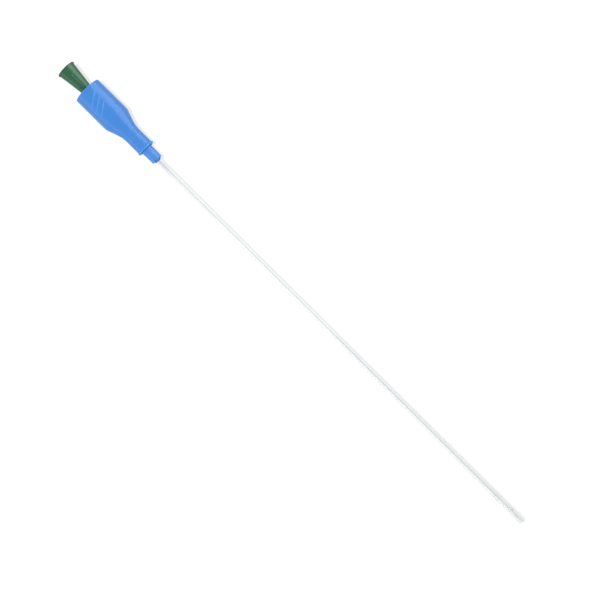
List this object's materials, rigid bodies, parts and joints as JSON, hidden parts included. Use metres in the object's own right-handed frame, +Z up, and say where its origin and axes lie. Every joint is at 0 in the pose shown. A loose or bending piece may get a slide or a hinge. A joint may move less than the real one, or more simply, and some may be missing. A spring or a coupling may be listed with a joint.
{
  "type": "intermittent urinary catheter",
  "caption": "Clear round-tipped drainage tube with side eyelets, bonded into a flared funnel; a bell-shaped ribbed grip with a slit introducer tip slides along it.",
  "frame": {"origin": "on the surface that the object lies on, under the middle of its length", "axes": "+X from the funnel towards the tube's round tip, +Z up; the object's own axis lies in the XZ plane, 1.25 degrees nose down"},
  "size_m": [0.4, 0.0188, 0.0195],
  "materials": {
    "clear_tube": "clear soft plastic, wet gloss",
    "green_funnel": "satin moulding",
    "blue_grip": "satin moulding",
    "blue_tip": "soft satin moulding"
  },
  "bodies": {
    "catheter": {"catheter_tube": "clear_tube", "funnel_connector": "green_funnel"},
    "grip": {"grip_sleeve": "blue_grip", "introducer_tip": "blue_tip"}
  },
  "joints": [
    {"name": "grip_slide", "type": "slide", "parent": "catheter", "child": "grip", "axis": [0.9998, 0, -0.0218], "range_m": [0, 0.32]}
  ]
}
